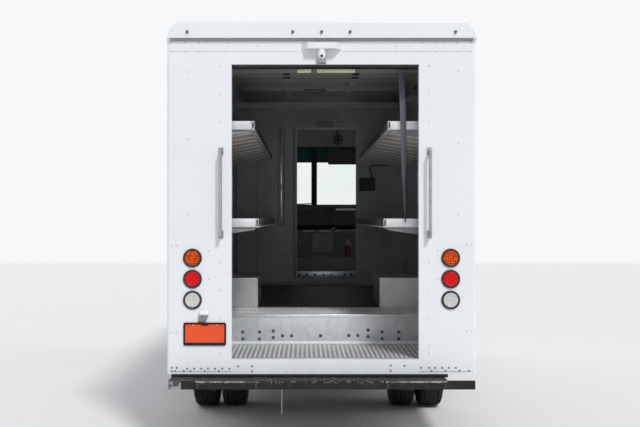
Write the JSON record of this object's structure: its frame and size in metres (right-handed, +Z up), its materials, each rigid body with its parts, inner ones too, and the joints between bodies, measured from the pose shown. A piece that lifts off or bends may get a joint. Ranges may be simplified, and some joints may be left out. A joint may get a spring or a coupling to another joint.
{
  "type": "walk-in step van",
  "caption": "White riveted aluminium walk-in step van with roll-up rear door, parcel shelves, sliding cab doors, dual rear wheels and steered front wheels.",
  "frame": {"origin": "on the ground under the middle of the whole vehicle", "axes": "+Y towards the front, +X to the kerb side, +Z up"},
  "size_m": [2.94, 7.13, 3.223],
  "materials": {
    "white_paint": "clean gloss white",
    "bare_aluminium": "mill finish, scuffed",
    "grey_liner": "worn grey enamel",
    "black_frame": "chassis black",
    "black_deck": "black deck covering",
    "black_step": "worn black step paint",
    "tyre": "dusty rubber",
    "wheel_paint": "white wheel enamel",
    "clear_glass": "clear",
    "lens_red": "moulded lens",
    "lens_clear": "moulded lens",
    "rubber_black": "moulded rubber",
    "grey_steel": "dull steel tube",
    "black_plastic": "grained plastic",
    "seat_vinyl": "black vinyl",
    "strap_web": "woven grey webbing",
    "engine_grey": "dull cast block",
    "steel_dark": "dusty dark steel",
    "white_plastic": "white moulding"
  },
  "bodies": {
    "van": {"body_side_left": "white_paint", "body_side_right": "white_paint", "roof": "white_paint", "rear_frame": "white_paint", "front_shell": "white_paint", "hood": "white_paint", "grille": "black_plastic", "windshield": "clear_glass", "headlamps": "lens_clear", "chassis_frame": "black_frame", "leaf_springs": "black_frame", "cargo_floor": "black_deck", "rear_step": "bare_aluminium", "wheel_boxes": "bare_aluminium", "bulkhead": "grey_liner", "cab_floor": "black_deck", "cab_steps": "black_step", "engine_cover": "grey_liner", "dash": "black_plastic", "steering_column": "black_plastic", "seat_base": "steel_dark", "seat_cushions": "seat_vinyl", "engine": "engine_grey", "front_axle": "black_frame", "rear_axle": "black_frame", "drive_shaft": "black_frame", "fuel_tank": "black_frame", "exhaust": "steel_dark", "rear_bumper": "black_step", "front_bumper": "black_step", "shelves": "bare_aluminium", "door_tracks": "bare_aluminium", "roll_up_door": "grey_liner", "lamp_grommets": "rubber_black", "rear_lamps": "lens_red", "marker_lamps": "lens_red", "grab_handles": "grey_steel", "mirrors": "black_plastic", "rear_camera": "white_plastic", "pull_strap": "strap_web", "hanging_wire": "steel_dark", "wire_hook": "steel_dark", "roof_bows": "bare_aluminium", "floor_bearers": "black_frame"},
    "knuckle_left": {"knuckle_left": "steel_dark"},
    "knuckle_right": {"knuckle_right": "steel_dark"},
    "front_wheel_left": {"front_tyre_left": "tyre", "front_rim_left": "wheel_paint"},
    "front_wheel_right": {"front_tyre_right": "tyre", "front_rim_right": "wheel_paint"},
    "rear_wheels_left": {"rear_tyres_left": "tyre", "rear_rims_left": "wheel_paint"},
    "rear_wheels_right": {"rear_tyres_right": "tyre", "rear_rims_right": "wheel_paint"},
    "side_door_left": {"side_door_left": "white_paint", "door_glass_left": "clear_glass"},
    "side_door_right": {"side_door_right": "white_paint", "door_glass_right": "clear_glass"},
    "bulkhead_door": {"bulkhead_door": "grey_liner"},
    "steering_wheel": {"steering_wheel": "black_plastic"}
  },
  "joints": [
    {"name": "steer_left", "type": "hinge", "parent": "van", "child": "knuckle_left", "pos_m": [-0.85, 2.715, 0.405], "axis": [0, 0, 1], "range_deg": [-35, 35]},
    {"name": "steer_right", "type": "hinge", "parent": "van", "child": "knuckle_right", "pos_m": [0.85, 2.715, 0.405], "axis": [0, 0, 1], "range_deg": [-35, 35]},
    {"name": "steering_wheel_turn", "type": "hinge", "parent": "van", "child": "steering_wheel", "pos_m": [-0.6, 2.52, 1.7], "axis": [0, -0.5, 0.866], "range_deg": [-525, 525]},
    {"name": "front_spin_left", "type": "hinge", "parent": "knuckle_left", "child": "front_wheel_left", "pos_m": [-0.95, 2.715, 0.405], "axis": [1, 0, 0], "continuous": true},
    {"name": "front_spin_right", "type": "hinge", "parent": "knuckle_right", "child": "front_wheel_right", "pos_m": [0.95, 2.715, 0.405], "axis": [1, 0, 0], "continuous": true},
    {"name": "rear_spin_left", "type": "hinge", "parent": "van", "child": "rear_wheels_left", "pos_m": [-0.9, -1.285, 0.405], "axis": [1, 0, 0], "continuous": true},
    {"name": "rear_spin_right", "type": "hinge", "parent": "van", "child": "rear_wheels_right", "pos_m": [0.9, -1.285, 0.405], "axis": [1, 0, 0], "continuous": true},
    {"name": "side_door_slide_left", "type": "slide", "parent": "van", "child": "side_door_left", "axis": [0, -1, 0], "range_m": [0, 0.64]},
    {"name": "side_door_slide_right", "type": "slide", "parent": "van", "child": "side_door_right", "axis": [0, -1, 0], "range_m": [0, 0.64]},
    {"name": "bulkhead_door_slide", "type": "slide", "parent": "van", "child": "bulkhead_door", "axis": [1, 0, 0], "range_m": [0, 0.73]}
  ],
  "couplings": [
    {"joint": "steer_right", "follows": "steer_left", "ratio": 1},
    {"joint": "steering_wheel_turn", "follows": "steer_left", "ratio": 15}
  ]
}
